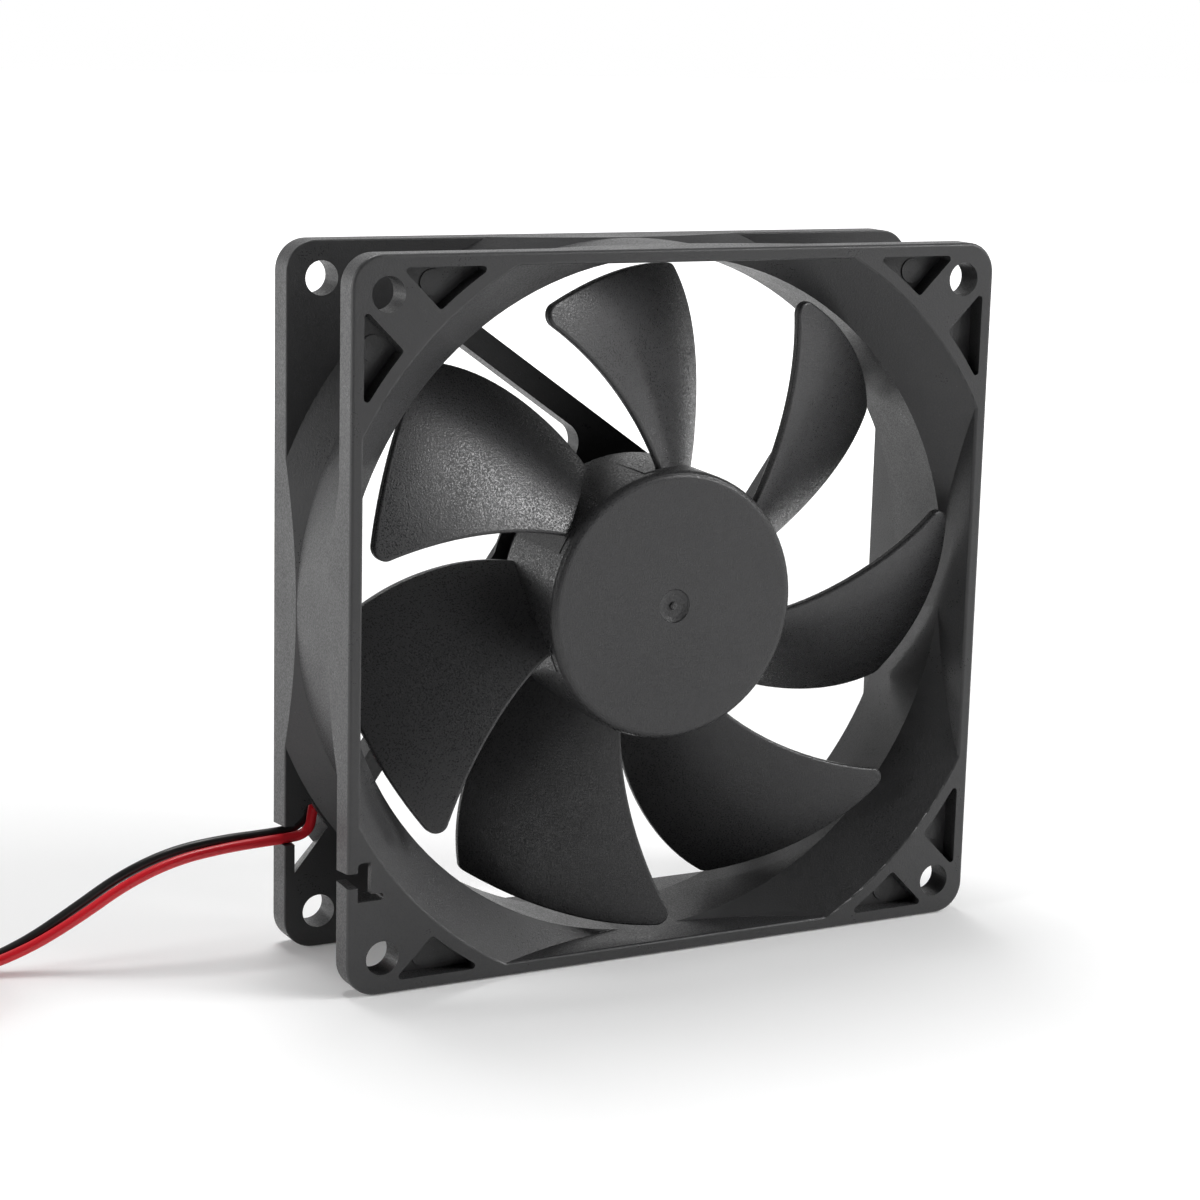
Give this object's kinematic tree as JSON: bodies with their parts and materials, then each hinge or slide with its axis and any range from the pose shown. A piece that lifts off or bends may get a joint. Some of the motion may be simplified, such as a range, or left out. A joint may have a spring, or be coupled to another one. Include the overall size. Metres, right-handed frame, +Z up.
{
  "type": "case fan",
  "caption": "Square axial cooling fan for a computer case, 92 mm, with swept blades, open corners and a two-wire lead ending in a plug.",
  "frame": {"origin": "middle of the bottom edge of the square frame, on the surface that the fan stands on, half way through its depth", "axes": "+Z up, +Y along the airflow from the intake face to the exhaust face, the fan's axis is parallel to Y at z 46 mm"},
  "size_m": [0.1592, 0.0338, 0.092],
  "materials": {
    "frame_plastic": "matte",
    "rotor_plastic": "satin",
    "lead_red_pvc": "gloss",
    "lead_black_pvc": "gloss",
    "plug_plastic": "satin",
    "terminal_metal": "satin",
    "steel": "satin",
    "brass": "satin",
    "bronze": "matte",
    "magnet": "matte",
    "lamination": "satin",
    "bobbin": "satin",
    "copper": "gloss",
    "board": "satin",
    "chip": "matte",
    "rubber": "matte",
    "label": "satin",
    "tie": "satin"
  },
  "bodies": {
    "housing": {"frame": "frame_plastic", "bearing_tube": "brass", "sleeve_bearing": "bronze", "thrust_pad": "bobbin", "bearing_cap": "rubber", "rear_label": "label", "stator_core": "lamination", "insulator_front": "bobbin", "insulator_rear": "bobbin", "stator_coils": "copper", "circuit_board": "board", "winding_pins": "terminal_metal", "hall_sensor": "chip", "driver_chip": "chip", "capacitor": "terminal_metal", "lead_red_inner": "lead_red_pvc", "lead_black_inner": "lead_black_pvc", "lead_red": "lead_red_pvc", "lead_black": "lead_black_pvc", "lead_coil": "lead_black_pvc", "coil_tie": "tie", "lead_red_tail": "lead_red_pvc", "lead_black_tail": "lead_black_pvc", "connector_housing": "plug_plastic", "connector_terminals": "terminal_metal"},
    "rotor": {"impeller": "rotor_plastic", "rotor_yoke": "steel", "ring_magnet": "magnet", "shaft_boss": "brass", "shaft": "steel", "oil_slinger": "bobbin", "retaining_clip": "bobbin"}
  },
  "joints": [
    {"name": "rotor_spin", "type": "hinge", "parent": "housing", "child": "rotor", "pos_m": [0, 0, 0.046], "axis": [0, 1, 0], "continuous": true}
  ]
}
